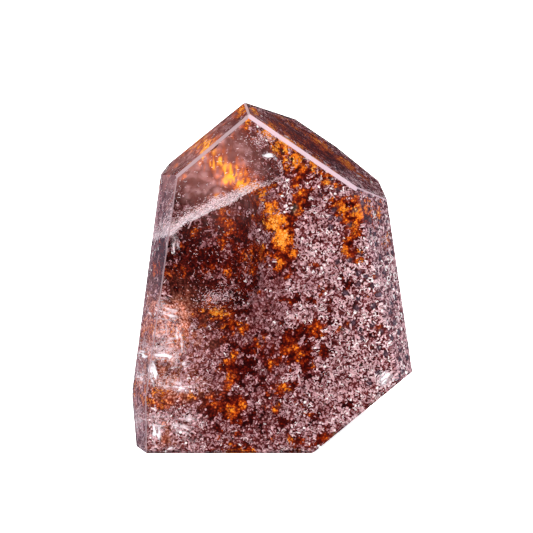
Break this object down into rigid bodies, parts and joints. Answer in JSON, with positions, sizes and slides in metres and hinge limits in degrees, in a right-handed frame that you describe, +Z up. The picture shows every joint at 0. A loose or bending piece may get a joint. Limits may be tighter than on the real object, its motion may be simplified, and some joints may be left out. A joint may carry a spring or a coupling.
{
  "type": "garden quartz",
  "caption": "Polished free-standing quartz point with flat ground facets, a slanted roof and a garden of mineral grains grown inside the clear crystal.",
  "frame": {"origin": "on the surface the stone stands on, under the middle of the stone's outline seen from above", "axes": "+Z up along the crystal to its tip, -Y out of the broad front face, +X to the right of someone looking at that face"},
  "size_m": [0.0552, 0.0346, 0.0671],
  "materials": {
    "garden_quartz": "polished",
    "clear_quartz": "polished",
    "mineral_bed": "matte",
    "mauve_grains": "satin",
    "iron_stain": "matte",
    "healed_veil": "satin"
  },
  "bodies": {
    "root": {"quartz_point": "garden_quartz"}
  },
  "joints": []
}
